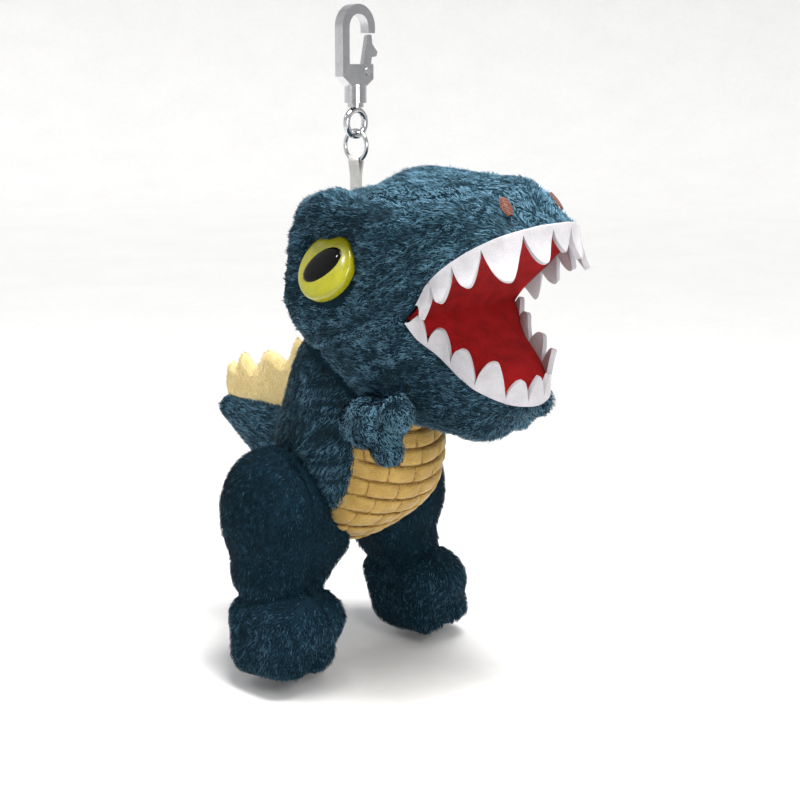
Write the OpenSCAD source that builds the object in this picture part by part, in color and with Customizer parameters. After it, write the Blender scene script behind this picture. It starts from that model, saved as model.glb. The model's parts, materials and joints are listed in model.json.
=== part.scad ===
// Plush dinosaur keychain: a swivel trigger clasp, a jump ring and a ribbon loop
// that carries a stuffed, open-mouthed dinosaur. Lengths are in millimetres.
// The origin is the centre of the clasp's hook seat. The dinosaur faces -Y and
// its right side is -X.

/* [Clasp] */
// Inner radius of the hook, where a bag ring or zip pull sits
hook_r = 3.1; // [2.9:0.1:3.3]
// Radial thickness of the hook's cast section
hook_t = 2.2; // [2:0.1:2.4]
// Width of the clasp, front to back
clasp_w = 2.6; // [2.4:0.1:3]
// Radius of the lever's pin
pin_r = 0.6; // [0.5:0.05:0.65]
// Radial running clearance of the pin and of the swivel stud
run_gap = 0.05; // [0.03:0.01:0.08]

/* [Ring and ribbon] */
// Mean radius of the swivel's eye
eye_ring_r = 3; // [2.8:0.1:3.2]
// Wire radius of the swivel's eye
eye_wire_r = 0.8; // [0.7:0.05:0.9]
// Outer diameter of the jump ring
ring_d = 8; // [7.6:0.2:8.4]
// Wire diameter of the jump ring
ring_wire_d = 1; // [0.8:0.1:1]
// Width of the ribbon
ribbon_w = 3; // [2.6:0.2:3.4]
// Thickness of the ribbon
ribbon_t = 0.3; // [0.2:0.05:0.35]

/* [Plush] */
// Thickness of the plush cloth with its pile
skin_t = 1.5; // [1.3:0.1:1.7]
// Thickness of the mouth's velvet lining
lining_t = 1; // [0.8:0.1:1.2]
// Thickness of the felt that the teeth are cut from
felt_t = 1.3; // [1.1:0.1:1.5]
// Half width of the crown gusset between its two seams
crown_half_w = 11.5; // [10.5:0.5:12.5]
// Angle of the palate above the horizontal
palate_angle = 31; // [28:1:33]
// Angle of the tongue below the horizontal
tongue_angle = 39; // [36:1:41]
// Diameter of a safety eye
eye_d = 16; // [15:0.5:16.5]
// Thickness of the back ridge
ridge_t = 3.2; // [2.6:0.2:3.6]

/* [Travel] */
// How far the jaw flexes open or shut
jaw_flex = 6; // [4:1:7]
// How far a leg flexes forwards or backwards
leg_flex = 10; // [6:1:12]

/* [Hidden] */

steel = [0.78, 0.79, 0.81];
teal = [0.16, 0.3, 0.4];
cream = [0.93, 0.86, 0.6];
gold = [0.88, 0.72, 0.34];
red = [0.66, 0.08, 0.1];
felt = [0.95, 0.94, 0.96];
wadding = [0.9, 0.9, 0.88];

soft_fn = 16;     // facets of the soft shapes
limb_fn = 10;     // facets of the arms
round_fn = 48;    // facets of turned and cast shapes
seam_gap = 0.15;  // sewn pieces stay this far apart
play = 0.4;       // soft pieces on two bodies stay this far apart
big = 200;

// Heights of the hardware, from the hook seat down
hook_out = hook_r + hook_t;
throat_z = -8.2;
pivot = [3, -9.9];
slot_w = clasp_w / 2;
barrel_r = 2.6;
barrel_top = -13.2;
barrel_bottom = -17;
stud_r = 1.05;
eye_ring_z = barrel_bottom - 1.6 - eye_ring_r;
bar_z = eye_ring_z - eye_ring_r;
ring_wire_r = ring_wire_d / 2;
ring_r = ring_d / 2 - ring_wire_r;
ring_z = bar_z - (ring_r - ring_wire_r - eye_wire_r) - 0.05;
fold_r = ring_wire_r + 0.25;
fold_z = ring_z - ring_r + 0.17;

// Places on the dinosaur, from the ribbon's fold at the plush's own zero
corner = [-31, -31.5];        // mouth corner: y, z
jaw_hinge = [-25, -34];       // y, z
shoulder = [20.5, -17, -57];
shoulder_r = 6.8;
hip = [8, -86];               // y, z
hip_x = 13;                   // the leg's flat inner side
hip_low = -99;                // the flat side's lower end
eye_at = [20.9, -11, -22.6];
eye_dir = [0.87, -0.07, 0.49];
cap_t = 2;                    // height of the eye's cap
hinge_r = 2;                  // radius of the flesh kept clear of the jaw's hinge line

// ---------- shared shapes ----------

// Makes one mesh of its children
module one_mesh() resize([0, 0, 0]) union() children();

module blob(at, radii, inset = 0, facets = soft_fn) {
    translate(at) scale([for (r = radii) r - inset]) sphere(1, $fn = facets);
}

module both_sides() {
    children();
    mirror([1, 0, 0]) children();
}

module right_half(gap = seam_gap / 2) {
    translate([-big - gap, -big / 2, -big]) cube([big, big, 2 * big]);
}

// All the space past a plane across X, on the side that way gives
module beyond(x, way) translate([x + (way < 0 ? -big : 0), -big / 2, -big]) cube([big, big, big]);

// A flat outline in y and z, given a width along X
module slab(outline, width) {
    rotate([90, 0, 90]) linear_extrude(height = width, center = true) polygon(outline);
}

// Everything in the fan of directions from a to b degrees about a point in y and z;
// zero degrees is forwards and positive is up
module fan(at, a, b, reach = 90) {
    slab(concat([at], [for (i = [0:6]) let (t = a + (b - a) * i / 6)
        at + reach * [-cos(t), sin(t)]]), big);
}

module turn_about(at, angle) {
    translate([0, at[0], at[1]]) rotate([angle, 0, 0]) translate([0, -at[0], -at[1]]) children();
}

module plush() translate([0, 0, fold_z]) children();

// ---------- clasp ----------

module flat_part(width) rotate([90, 0, 0]) linear_extrude(height = width, center = true) children();

module clasp_body() color(steel) difference() {
    union() {
        flat_part(clasp_w) difference() {
            union() {
                circle(hook_out, $fn = round_fn);
                translate([-hook_out, throat_z - 1]) square([hook_out, -throat_z + 1]);
                polygon([[-hook_out, throat_z], [4.7, throat_z], [4.7, -11.6], [2.4, barrel_top],
                    [-2.4, barrel_top], [-hook_out, -11]]);
            }
            circle(hook_r, $fn = round_fn);
            translate([-hook_r, throat_z]) square([2 * hook_r, -throat_z]);
            translate([0, -hook_out - 1]) square([hook_out + 1, hook_out - 0.2]);
        }
        translate([0, 0, barrel_bottom]) cylinder(r = barrel_r, h = barrel_top - barrel_bottom + 0.4,
            $fn = round_fn);
    }
    translate([-0.6, -slot_w / 2, -12.3]) cube([8, slot_w, 6]);
    translate([pivot[0], 0, pivot[1]]) rotate([90, 0, 0])
        cylinder(r = pin_r, h = 6, center = true, $fn = 24);
    translate([0, 0, barrel_bottom - 1]) cylinder(r = stud_r + run_gap, h = 3, $fn = 32);
    translate([0, 0, -16]) cylinder(r = 1.8, h = 1.3, $fn = 32);
}

module clasp_lever() color(steel) difference() {
    union() {
        flat_part(slot_w - 0.2) polygon([[0.3, -9.6], [1.9, -9.1], [3.5, -1.9], [3.9, -1.5],
            [4.9, -1.5], [5.1, -3.6], [6.9, -5.4], [6.5, -6.4], [5, -6.6], [4.4, -9.8],
            [3, -11.2], [0.3, -10.5]]);
        translate([pivot[0], 0, pivot[1]]) rotate([90, 0, 0])
            cylinder(r = 1.5, h = slot_w - 0.2, center = true, $fn = 32);
    }
    translate([pivot[0], 0, pivot[1]]) rotate([90, 0, 0])
        cylinder(r = pin_r + run_gap, h = 6, center = true, $fn = 24);
}

module lever_pin() color(steel) translate([pivot[0], 0, pivot[1]]) rotate([90, 0, 0]) {
    cylinder(r = pin_r, h = clasp_w, center = true, $fn = 24);
    for (side = [-1, 1]) translate([0, 0, side * (clasp_w / 2 + 0.15)])
        cylinder(r = pin_r + 0.35, h = 0.3, center = true, $fn = 24);
}

spring_r = 0.42;
spring_wire_r = 0.13;
spring_turns = 4;
spring_low = -12.1;
spring_high = -10.75;
spring_steps = 40;

function spring_point(i, k) =
    let (a = 360 * spring_turns * i / spring_steps, b = 60 * k,
        r = spring_r + spring_wire_r * cos(b))
    [0.95 + r * cos(a), r * sin(a),
        spring_low + (spring_high - spring_low) * i / spring_steps + spring_wire_r * sin(b)];

module lever_spring() color(steel) polyhedron(
    points = [for (i = [0:spring_steps], k = [0:5]) spring_point(i, k)],
    faces = concat([[for (k = [0:5]) k]], [[for (k = [5:-1:0]) 6 * spring_steps + k]],
        [for (i = [0:spring_steps - 1], k = [0:5]) let (n = (k + 1) % 6)
            [6 * i + k, 6 * (i + 1) + k, 6 * (i + 1) + n, 6 * i + n]]),
    convexity = 8);

module swivel_eye() color(steel) union() {
    translate([0, 0, -15.9]) cylinder(r = 1.55, h = 1.1, $fn = 32);
    translate([0, 0, barrel_bottom - 0.8]) cylinder(r = stud_r, h = 1.9, $fn = 32);
    translate([0, 0, barrel_bottom - 1]) cylinder(r = 1.9, h = 0.9, $fn = 32);
    translate([0, 0, eye_ring_z]) rotate([90, 0, 0]) rotate_extrude($fn = round_fn)
        translate([eye_ring_r, 0]) circle(eye_wire_r, $fn = 24);
}

module jump_ring() color(steel) difference() {
    translate([0, 0, ring_z]) rotate([0, 90, 0]) rotate_extrude($fn = round_fn)
        translate([ring_r, 0]) circle(ring_wire_r, $fn = 24);
    translate([-1, ring_r - 1, ring_z + 0.4]) cube([2, 2, 0.12]);
}

module ribbon_loop() color(felt) translate([0, 0, fold_z]) union() {
    flat_part(ribbon_w) difference() {
        circle(fold_r + ribbon_t, $fn = 32);
        circle(fold_r, $fn = 32);
        translate([-2, -4.1]) square([4, 4]);
    }
    for (side = [-1, 1]) flat_part(ribbon_w) polygon([[side * fold_r, 0],
        [side * (fold_r + ribbon_t), 0], [side * (0.12 + ribbon_t), -3.4],
        [side * (0.12 + ribbon_t), -10], [side * 0.12, -10], [side * 0.12, -3.4]]);
}

// ---------- head ----------

// The whole head, with the jaw and without the mouth
module head_form(t = 0) {
    hull() {
        blob([0, -9, -34], [24.3, 21, 15.8], t);
        blob([0, -9, -19.5], [15, 19.5, 14.7], t);
    }
    hull() {
        blob([0, -22, -17], [21, 15.5, 16], t);
        blob([0, -45, -12], [13.5, 10.5, 10], t);
    }
    translate([0, -45, -18.5]) rotate([-14, 0, 0]) blob([0, 0, 0], [15.5, 15.5, 8.5], t);
    hull() {
        blob([0, -22, -44], [19, 13.5, 13.5], t);
        blob([0, -46, -50], [12, 8.4, 8.4], t);
    }
    translate([0, -44, -48]) rotate([22, 0, 0]) blob([0, 0, 0], [14.5, 14.5, 9.5], t);
    both_sides() blob([12, -22, -38], [9.5, 13, 15], t);
}

// The open mouth, grown by t into the palate and the tongue
module mouth(t = 0) fan(corner + [t * 1.6, 0], palate_angle, -tongue_angle);

// A layer of the mouth's walls, from depth a to depth b behind the cloth's edge
module mouth_layer(a, b) difference() {
    mouth(b);
    mouth(a);
}

// The line that the jaw bends about, as a round bar of space
module hinge_bar() translate([0, jaw_hinge[0], jaw_hinge[1]]) rotate([0, 90, 0])
    cylinder(r = hinge_r, h = big, center = true, $fn = soft_fn);

// The jaw's share of the head
module jaw_zone() difference() {
    fan(jaw_hinge, 20, -92);
    hinge_bar();
}

// The room that the upper head leaves for the jaw's travel
module jaw_room() {
    fan(jaw_hinge, 24 + jaw_flex, -10, 8);
    fan(jaw_hinge, 0, -96 - jaw_flex);
    hinge_bar();
}

module shoulders(grow = 0) both_sides() translate(shoulder) sphere(shoulder_r + grow, $fn = soft_fn);

// What the moving jaw sweeps, with its play
module jaw_sweep() for (a = [-jaw_flex, 0, jaw_flex]) turn_about(jaw_hinge, a) difference() {
    intersection() {
        head_form(-play);
        fan(jaw_hinge + [play, play], 22, -94);
    }
    fan(corner + [0, play], 60, -tongue_angle);
}

// The upper head without what moves or is set into it
module upper_head(t = 0) difference() {
    head_form(t);
    fan(corner, palate_angle, -80);
    jaw_room();
}

module at_eye(side) translate([side * eye_at[0], eye_at[1], eye_at[2]])
    rotate([0, 0, side < 0 ? 180 : 0])
    rotate([0, atan2(norm([eye_dir[0], eye_dir[1]]), eye_dir[2]), 0]) children();

module eye_seats() for (side = [-1, 1]) at_eye(side) {
    cylinder(r = eye_d / 2 + 0.3, h = 12, $fn = 24);
    translate([0, 0, -6]) cylinder(r = 1.7, h = 8, $fn = 12);
    translate([0, 0, -6.5]) cylinder(r = 4.3, h = 2.5, $fn = 24);
}

module ribbon_slot() translate([0, 0, -7])
    cube([2 * (0.12 + ribbon_t) + 0.5, ribbon_w + 0.5, 10], center = true);

nostril_at = [8.5, -51, -6.6];

module nostril_form(grow = 0) both_sides() translate(nostril_at) rotate([35, 22, 0])
    scale([1.5 + grow, 2 + grow, 1.1 + grow]) sphere(1, $fn = soft_fn);

module brow_form(t = 0) both_sides() {
    hull() {
        blob([15, -2.5, -14], [5, 5, 4.6], t);
        blob([17, -9, -10.8], [5.6, 6, 5], t);
    }
    hull() {
        blob([17, -9, -10.8], [5.6, 6, 5], t);
        blob([15, -22, -10.5], [3.2, 4, 3], t);
    }
}

module head_skin() difference() {
    upper_head();
    head_form(skin_t);
    brow_form(-seam_gap);
    eye_seats();
    nostril_form(seam_gap);
    ribbon_slot();
    shoulders(play);
}

module crown_zone(grow = 0) translate([-crown_half_w - grow, -big, -17 - grow])
    cube([2 * (crown_half_w + grow), big + 5, big]);

module head_panel(side) difference() {
    intersection() {
        head_skin();
        if (side < 0) right_half(); else mirror([1, 0, 0]) right_half();
    }
    crown_zone(seam_gap);
}

module head_panel_right() color(teal) plush() one_mesh() head_panel(-1);
module head_panel_left() color(teal) plush() one_mesh() head_panel(1);
module crown_panel() color(teal * 1.1) plush() one_mesh() intersection() {
    head_skin();
    crown_zone();
}

module brow_roll(side) difference() {
    intersection() {
        brow_form();
        if (side < 0) right_half(); else mirror([1, 0, 0]) right_half();
    }
    eye_seats();
    crown_zone(seam_gap);
    head_form(skin_t - seam_gap);
}

module brow_roll_right() color(teal * 1.2) plush() one_mesh() brow_roll(-1);
module brow_roll_left() color(teal * 1.2) plush() one_mesh() brow_roll(1);

// The velvet on one wall of the mouth: the palate above, the tongue below
module lining(above) intersection() {
    head_form(skin_t + seam_gap);
    mouth_layer(0, lining_t);
    translate([0, corner[0] - 2 - big / 2, corner[1] + (above ? 1 : -1) * big / 2])
        cube(big, center = true);
}

module palate_lining() color(red) plush() one_mesh() difference() {
    lining(true);
    jaw_room();
}

// The stuffing leaves the snout and the eyes' fixings free
module head_filling() color(wadding) plush() one_mesh() difference() {
    hull() {
        blob([0, -8, -31], [16, 16, 14]);
        blob([0, -6, -22], [9, 14, 12]);
    }
    ribbon_slot();
    jaw_sweep();
}

// The eye's cap and the stem behind it, turned as one
module eye_cap() rotate_extrude($fn = round_fn) {
    polygon([[0, 0], [eye_d / 2 - 0.5, 0], [eye_d / 2, 0.4], [eye_d / 2, 0.9],
        [eye_d / 2 - 0.6, 1.4], [eye_d / 2 - 3, cap_t - 0.15], [0, cap_t]]);
    translate([0, -5.5]) square([1.5, 5.7]);
}

module eye(side) at_eye(side) eye_cap();

// The pupil lies on the cap and follows its curve
module pupil(side) difference() {
    at_eye(side) rotate([0, 0, side * 50]) translate([0, 0, cap_t - 0.5]) scale([1, 0.54, 1])
        cylinder(r1 = 6.5, r2 = 5.4, h = 1.3, $fn = 32);
    at_eye(side) translate([0, 0, 0.06]) eye_cap();
}

module eye_washer(side) at_eye(side) translate([0, 0, -5]) difference() {
    cylinder(r = 4, h = 0.8, $fn = 32);
    translate([0, 0, -1]) cylinder(r = 1.52, h = 3, $fn = 24);
}

module eye_right() color([0.8, 0.8, 0.2]) plush() eye(-1);
module eye_left() color([0.8, 0.8, 0.2]) plush() eye(1);
module pupil_right() color("black") plush() pupil(-1);
module pupil_left() color("black") plush() pupil(1);
module eye_washer_right() color("white") plush() eye_washer(-1);
module eye_washer_left() color("white") plush() eye_washer(1);

module nostril(side) intersection() {
    nostril_form();
    if (side < 0) right_half(); else mirror([1, 0, 0]) right_half();
}

module nostril_right() color("sienna") plush() one_mesh() nostril(-1);
module nostril_left() color("sienna") plush() one_mesh() nostril(1);

// ---------- teeth ----------

// The lip's curve seen from above: the half width, and a straight run into a round front
function lip_point(u, half_w, front_y, back_y) =
    let (bow = front_y + half_w, side = sign(u), v = abs(u))
    v < 0.5 ? [half_w * sin(180 * u), bow - half_w * cos(180 * u)]
        : [side * (half_w + (v - 0.5) * 5), bow + (v - 0.5) * 2 * (back_y - bow)];

// A row of felt teeth along a lip that slopes by angle; drop is where the points go
module tooth_row(angle, half_w, front_y, back_y, count, tall, drop) {
    step = 2 / count;
    for (i = [0:count - 1]) {
        u = -1 + (i + 0.5) * step;
        a = lip_point(u - step / 2, half_w, front_y, back_y);
        b = lip_point(u + step / 2, half_w, front_y, back_y);
        mid = (a + b) / 2;
        w = norm(b - a) + 0.5;
        rise = (a[1] - b[1]) * tan(angle) / 2;
        depth = corner[0] - mid[1];
        z = corner[1] + depth * tan(angle) + drop * 0.2;
        reach = drop * min(tall, depth * (tan(palate_angle) + tan(tongue_angle)) * 0.38);
        translate([mid[0], mid[1], z]) rotate([0, 0, atan2(b[1] - a[1], b[0] - a[0])])
            rotate([90, 0, 0]) linear_extrude(height = felt_t, center = true)
            polygon([[-w / 2, -rise], [w / 2, rise], [w / 2, rise - reach * 0.35],
                [w * 0.16, -reach], [-w * 0.16, -reach], [-w / 2, -rise - reach * 0.35]]);
    }
}

module upper_teeth() color(felt) plush() one_mesh() difference() {
    tooth_row(palate_angle, 12.6, -58, -36, 14, 6.2, 1);
    upper_head(-0.05);
    jaw_sweep();
}

module lower_teeth() color(felt) plush() one_mesh() difference() {
    tooth_row(-tongue_angle, 11.2, -55, -36, 14, 5, -1);
    intersection() {
        head_form(-0.05);
        fan(corner, -tongue_angle, -120);
    }
}

// ---------- jaw ----------

module jaw_form(t = 0) difference() {
    intersection() {
        head_form(t);
        jaw_zone();
    }
    fan(corner, 60, -tongue_angle);
    for (a = [-jaw_flex, 0, jaw_flex]) turn_about(jaw_hinge, a) shoulders(play);
}

module jaw_panel() color(teal) plush() one_mesh() difference() {
    jaw_form();
    head_form(skin_t);
}

module tongue_lining() color(red) plush() one_mesh() difference() {
    intersection() {
        lining(false);
        jaw_zone();
    }
    for (a = [-jaw_flex, 0, jaw_flex]) turn_about(jaw_hinge, a) shoulders(play);
}

module jaw_filling() color(wadding) plush() one_mesh() difference() {
    jaw_form(skin_t + 2 * seam_gap);
    mouth(lining_t + seam_gap);
    fan(jaw_hinge, -88, -110);
}

// ---------- body ----------

module body_form(t = 0) {
    translate([0, 0, -69]) rotate([6, 0, 0]) blob([0, 0, 0], [20, 22.5, 26.5], t);
    blob([0, -2, -50], [17.5, 16, 16], t);
}

module leg_form(t = 0) {
    blob([20.5, 8, -85.5], [12, 16.5, 19], t);
    hull() {
        blob([20.5, 7, -92], [10, 12.5, 13], t);
        blob([21.3, 4.5, -108], [9.5, 10.5, 10], t);
    }
    hull() {
        blob([21.5, 5.5, -112.5], [11.8, 12, 10.2], t);
        blob([21.5, -2.5, -114], [11, 8.5, 8.7], t);
    }
}

// The space inside the leg's flat side, beside the body
module hip_side(grow = 0) translate([-big + hip_x - grow, -big / 2, hip_low + grow]) cube(big);

module leg_sweep() both_sides() for (a = [-leg_flex, 0, leg_flex]) turn_about(hip, a) difference() {
    leg_form(-play);
    hip_side(play);
}

module body_shape(t = 0) difference() {
    body_form(t);
    head_form(-seam_gap - t);
    jaw_sweep();
    leg_sweep();
    shoulders(play + t);
}

module tail_form(t = 0) hull() {
    blob([0, 18, -74], [12, 12, 12], t);
    blob([0, 45.5, -67], [5, 5, 5.5], t);
}

module ridge_form(grow = 0) slab([[13, -44], [21, -45.8], [26, -52], [33.6, -51.2], [37.6, -54.8],
    [41.5, -52], [44.4, -54.9], [47.6, -56], [48.5, -61], [46, -66], [22, -76], [8, -60]],
    ridge_t + 2 * grow);

module belly_zone(grow = 0) intersection() {
    translate([0, -big / 2, -78]) scale([14 + grow, 1, 18.5 + grow]) rotate([90, 0, 0])
        cylinder(r = 1, h = big, center = true, $fn = 32);
    translate([-big / 2, -big, -big]) cube([big, big + 3, 2 * big]);
}

module body_skin(side) difference() {
    intersection() {
        body_shape();
        if (side < 0) right_half(); else mirror([1, 0, 0]) right_half();
    }
    body_form(skin_t);
    tail_form(-seam_gap);
    ridge_form(seam_gap);
    belly_zone(seam_gap);
}

module body_panel_right() color(teal) plush() one_mesh() body_skin(-1);
module body_panel_left() color(teal) plush() one_mesh() body_skin(1);

module belly_patch() color(gold) plush() one_mesh() difference() {
    intersection() {
        body_shape(-0.5);
        belly_zone();
    }
    body_form(skin_t);
}

module body_filling() color(wadding) plush() one_mesh() difference() {
    body_shape(skin_t + seam_gap);
    tail_form(-seam_gap);
    ridge_form(seam_gap);
}

module back_ridge() color(cream) plush() one_mesh() difference() {
    ridge_form();
    body_form(2 * skin_t);
    tail_form(2 * skin_t);
    head_form(-seam_gap);
}

module tail_skin(side) difference() {
    intersection() {
        tail_form();
        if (side < 0) right_half(); else mirror([1, 0, 0]) right_half();
    }
    tail_form(skin_t);
    body_form(skin_t + seam_gap);
    ridge_form(seam_gap);
    leg_sweep();
}

module tail_panel_right() color(teal) plush() one_mesh() tail_skin(-1);
module tail_panel_left() color(teal) plush() one_mesh() tail_skin(1);

module tail_filling() color(wadding) plush() one_mesh() difference() {
    tail_form(skin_t + seam_gap);
    body_form(skin_t + seam_gap);
    ridge_form(seam_gap);
    leg_sweep();
}

// ---------- limbs ----------

// An arm on the left side: an upper arm and a paw split into two fingers
module arm_form(t = 0) {
    blob(shoulder, [for (i = [0:2]) shoulder_r], t, limb_fn);
    hull() {
        blob([21.3, -20, -57], [6, 6, 6.4], t, limb_fn);
        blob([24.3, -31, -56], [5.6, 5.6, 6.2], t, limb_fn);
    }
    blob([25.2, -36.5, -53.5], [5, 5.2, 5.2], t, limb_fn);
    blob([24.5, -34, -62], [4.4, 5, 4.8], t, limb_fn);
}

module arm_piece(part) difference() {
    arm_form(part == "filling" ? skin_t + seam_gap : 0);
    if (part != "filling") arm_form(skin_t);
    if (part == "outer") beyond(shoulder[0] + 2 + seam_gap / 2, -1);
    if (part == "inner") beyond(shoulder[0] + 2 - seam_gap / 2, 1);
}

module leg_piece(part) difference() {
    leg_form(part == "filling" ? skin_t + seam_gap : 0);
    hip_side();
    if (part != "filling") leg_form(skin_t);
    if (part == "outer") beyond(21 + seam_gap / 2, -1);
    if (part == "inner") beyond(21 - seam_gap / 2, 1);
}

module arm_left_outer() color(teal) plush() one_mesh() arm_piece("outer");
module arm_left_inner() color(teal) plush() one_mesh() arm_piece("inner");
module arm_left_filling() color(wadding) plush() one_mesh() arm_piece("filling");
module arm_right_outer() color(teal) plush() one_mesh() mirror([1, 0, 0]) arm_piece("outer");
module arm_right_inner() color(teal) plush() one_mesh() mirror([1, 0, 0]) arm_piece("inner");
module arm_right_filling() color(wadding) plush() one_mesh() mirror([1, 0, 0]) arm_piece("filling");

module leg_left_outer() color(teal) plush() one_mesh() leg_piece("outer");
module leg_left_inner() color(teal) plush() one_mesh() leg_piece("inner");
module leg_left_filling() color(wadding) plush() one_mesh() leg_piece("filling");
module leg_right_outer() color(teal) plush() one_mesh() mirror([1, 0, 0]) leg_piece("outer");
module leg_right_inner() color(teal) plush() one_mesh() mirror([1, 0, 0]) leg_piece("inner");
module leg_right_filling() color(wadding) plush() one_mesh() mirror([1, 0, 0]) leg_piece("filling");

clasp_body();
clasp_lever();
lever_pin();
lever_spring();
swivel_eye();
jump_ring();
ribbon_loop();
head_panel_right();
head_panel_left();
crown_panel();
brow_roll_right();
brow_roll_left();
palate_lining();
upper_teeth();
head_filling();
eye_right();
eye_left();
pupil_right();
pupil_left();
eye_washer_right();
eye_washer_left();
nostril_right();
nostril_left();
jaw_panel();
tongue_lining();
lower_teeth();
jaw_filling();
body_panel_right();
body_panel_left();
belly_patch();
body_filling();
back_ridge();
tail_panel_right();
tail_panel_left();
tail_filling();
arm_right_outer();
arm_right_inner();
arm_right_filling();
arm_left_outer();
arm_left_inner();
arm_left_filling();
leg_right_outer();
leg_right_inner();
leg_right_filling();
leg_left_outer();
leg_left_inner();
leg_left_filling();
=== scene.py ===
import json
import math

import bpy
import numpy as np
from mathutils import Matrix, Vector


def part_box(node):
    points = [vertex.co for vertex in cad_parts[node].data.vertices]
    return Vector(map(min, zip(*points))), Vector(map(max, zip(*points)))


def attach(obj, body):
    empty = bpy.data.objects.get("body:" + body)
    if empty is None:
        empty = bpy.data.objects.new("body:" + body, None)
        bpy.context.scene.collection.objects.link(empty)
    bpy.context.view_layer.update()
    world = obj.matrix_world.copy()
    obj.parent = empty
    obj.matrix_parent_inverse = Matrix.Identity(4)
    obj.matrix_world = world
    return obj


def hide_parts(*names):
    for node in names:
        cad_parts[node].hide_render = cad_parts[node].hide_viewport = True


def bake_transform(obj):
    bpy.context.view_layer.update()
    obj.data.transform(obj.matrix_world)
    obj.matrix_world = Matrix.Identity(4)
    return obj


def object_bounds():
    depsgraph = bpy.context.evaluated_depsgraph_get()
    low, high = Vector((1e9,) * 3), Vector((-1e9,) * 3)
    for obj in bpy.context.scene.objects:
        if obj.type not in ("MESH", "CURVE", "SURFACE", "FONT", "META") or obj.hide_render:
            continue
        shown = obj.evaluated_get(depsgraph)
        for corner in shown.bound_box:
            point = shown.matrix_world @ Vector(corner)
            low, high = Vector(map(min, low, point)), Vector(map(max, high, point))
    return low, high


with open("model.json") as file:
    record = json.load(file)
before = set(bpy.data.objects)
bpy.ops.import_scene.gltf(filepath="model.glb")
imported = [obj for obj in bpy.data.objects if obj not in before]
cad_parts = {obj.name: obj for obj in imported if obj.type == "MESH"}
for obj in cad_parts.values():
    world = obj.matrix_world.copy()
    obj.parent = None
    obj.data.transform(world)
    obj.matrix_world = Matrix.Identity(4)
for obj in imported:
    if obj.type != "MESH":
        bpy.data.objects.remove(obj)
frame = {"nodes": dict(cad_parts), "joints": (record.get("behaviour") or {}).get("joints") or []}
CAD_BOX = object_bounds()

# The plush is shaped in millimetres from the ribbon's fold, where it hangs on the
# jump ring. It faces -Y and its right side is -X.
MM = 0.001
JOINT = {j["name"]: np.array(j["pos_m"]) / MM for j in frame["joints"]}
FOLD = np.array([0, 0, JOINT["plush_swing"][2]])
JAW_HINGE = JOINT["jaw_flex"] - FOLD
RIBBON_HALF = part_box("ribbon_loop")[1].y / MM

PILE = 1.0            # depth of the pile over the cloth
CLOTH = 0.9           # thickness of the cloth itself
FAR = 99.0            # a distance that keeps a test from mattering
CROWN_LOW = -18.0     # height where the crown's seam ends
CHEEK_FRONT = -33.0   # where the cheek's seam starts, beside the mouth's corner
CORNER_Y = -33.2      # the mouth's corner


def metres(points):
    return (np.asarray(points, float) + FOLD) * MM


# -------- distances


def smooth_min(a, b, k):
    h = np.clip(0.5 + 0.5 * (b - a) / k, 0, 1)
    return b * (1 - h) + a * h - k * h * (1 - h)


def melt(d, *parts):
    """Adds forms one after another, each with the softness of its joint."""
    for softness, part in parts:
        d = smooth_min(d, part, softness)
    return d


def tilted(p, at, angle):
    """Points about at, turned back by angle degrees about X."""
    q = p - np.array(at, float)
    c, s = math.cos(math.radians(-angle)), math.sin(math.radians(-angle))
    return np.stack([q[:, 0], c * q[:, 1] - s * q[:, 2], s * q[:, 1] + c * q[:, 2]], -1)


def blob(p, at, radii, angle=0):
    q = tilted(p, at, angle)
    r = np.array(radii, float)
    k0 = np.linalg.norm(q / r, axis=-1)
    k1 = np.linalg.norm(q / (r * r), axis=-1)
    return k0 * (k0 - 1) / np.maximum(k1, 1e-9)


def taper(p, a, b, ra, rb, widen=1.0):
    """A cone with round ends, widened along X."""
    q = p * np.array([1 / widen, 1, 1])
    a, b = np.array(a, float), np.array(b, float)
    t = np.clip(((q - a) @ (b - a)) / ((b - a) @ (b - a)), 0, 1)
    return np.linalg.norm(q - a - t[:, None] * (b - a), axis=-1) - (ra + t * (rb - ra))


def right_side(p):
    """The same points, all brought to the right side."""
    return np.stack([-np.abs(p[:, 0]), p[:, 1], p[:, 2]], -1)


def box(p, at, half, corner, angle=0):
    """A box with rounded corners, turned by angle degrees about X."""
    q = np.abs(tilted(p, at, angle)) - (np.array(half, float) - corner)
    return (np.linalg.norm(np.maximum(q, 0), axis=-1) + np.minimum(q.max(-1), 0)) - corner


def groove(across, depth=0.7, width=1.1):
    """How far a seam pulls the cloth in, by the distance across it."""
    return depth * np.exp(-(across / width) ** 2)


def noise(p, size, seed):
    """Smooth noise from -1 to 1 with features of about that size; size may differ by axis."""
    q = p / np.asarray(size, float)
    i = np.floor(q).astype(np.int64)
    f = q - i
    f = f * f * (3 - 2 * f)
    total = np.zeros(len(p))
    for corner in range(8):
        o = np.array([corner & 1, corner >> 1 & 1, corner >> 2 & 1])
        j = i + o
        h = (j[:, 0] * 73856093) ^ (j[:, 1] * 19349663) ^ (j[:, 2] * 83492791) ^ (seed * 2654435)
        h = (h ^ (h >> 13)) * 1274126177 & 0x7FFFFFFF
        weight = np.prod(np.where(o, f, 1 - f), -1)
        total += weight * ((h >> 8) % 4096 / 2048.0 - 1)
    return total


def gradient(field, p, step=0.15):
    g = np.stack([field(p + step * e) - field(p - step * e) for e in np.eye(3)], -1)
    return g / (2 * step)


def normals_of(field, p):
    g = gradient(field, p)
    return g / np.maximum(np.linalg.norm(g, axis=-1, keepdims=True), 1e-9)


# -------- the animal's forms


def roof(y):
    """Height of the mouth's roof, which rises and flattens out towards the lip."""
    s = -33.8 - y
    bent = np.maximum(s, 0)
    return -31.2 + 1.15 * s - 0.0155 * bent * bent


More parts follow.
